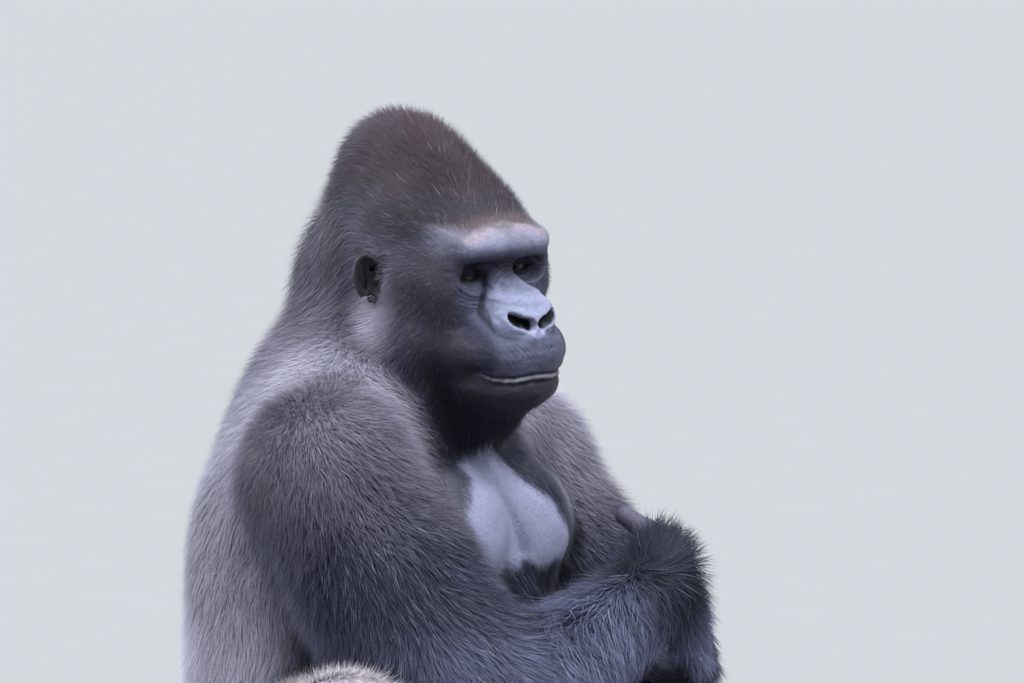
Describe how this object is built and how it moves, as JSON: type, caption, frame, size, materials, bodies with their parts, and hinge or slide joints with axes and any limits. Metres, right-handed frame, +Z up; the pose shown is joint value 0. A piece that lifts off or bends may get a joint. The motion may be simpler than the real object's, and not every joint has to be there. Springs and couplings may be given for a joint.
{
  "type": "sitting gorilla figure",
  "caption": "Life-size adult male gorilla, sitting with folded arms and its head turned to its right.",
  "frame": {"origin": "middle of the bounding box's floor, on the surface the animal sits on", "axes": "+Z up, -Y the way the chest faces, +X to the animal's left"},
  "size_m": [1.0358, 0.8816, 0.9601],
  "materials": {
    "dark_coat": "long dark hair with pale tips",
    "silver_coat": "grizzled silver-grey hair",
    "bare_skin": "wrinkled charcoal skin, soft sheen",
    "eye": "wet brown eye",
    "nail": "dull dark nail"
  },
  "bodies": {
    "root": {"eye_right": "eye", "eye_left": "eye", "muzzle": "bare_skin", "jaw": "dark_coat", "head": "dark_coat", "ear_right": "bare_skin", "ear_left": "bare_skin", "neck": "dark_coat", "chest": "dark_coat", "belly_and_rump": "silver_coat", "upper_arm_right": "dark_coat", "forearm_right": "dark_coat", "hand_right": "bare_skin", "thigh_right": "silver_coat", "shank_right": "dark_coat", "foot_right": "bare_skin", "upper_arm_left": "dark_coat", "forearm_left": "dark_coat", "hand_left": "bare_skin", "thigh_left": "silver_coat", "shank_left": "dark_coat", "foot_left": "bare_skin"}
  },
  "joints": []
}
